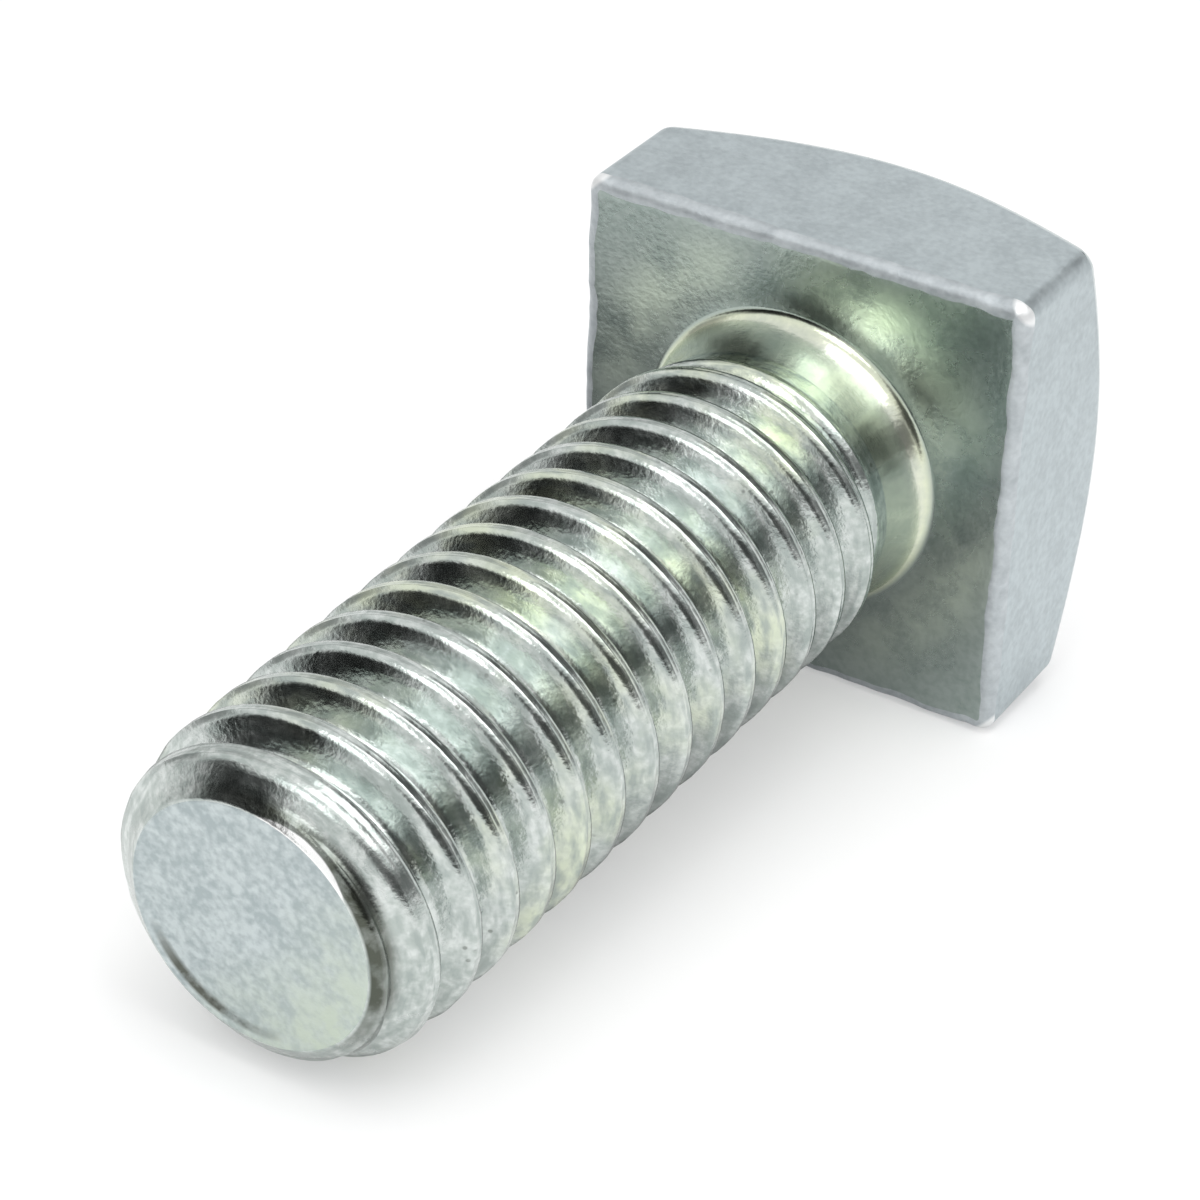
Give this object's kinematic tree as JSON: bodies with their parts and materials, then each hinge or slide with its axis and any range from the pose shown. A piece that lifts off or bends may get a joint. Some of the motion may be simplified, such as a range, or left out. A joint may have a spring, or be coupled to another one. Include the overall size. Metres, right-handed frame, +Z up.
{
  "type": "square head bolt",
  "caption": "Zinc plated steel machine bolt with a chamfered square head, a filleted slim neck and a coarse right-hand thread up to a chamfered tip, lying on its side.",
  "frame": {"origin": "on the floor, at the middle of the bolt's bounding box, under the bolt as it lies at rest", "axes": "+Z up from the floor; the shank runs along X with its tip towards -X and its crown towards +X, dipping about 6 degrees towards the tip; Y runs across the bolt, square to two sides of the head"},
  "size_m": [0.0322, 0.014, 0.0145],
  "materials": {
    "zinc_plate": "bright zinc plate over carbon steel, satin on the head and glossy on the rolled thread"
  },
  "bodies": {
    "root": {"square_head_bolt": "zinc_plate"}
  },
  "joints": []
}
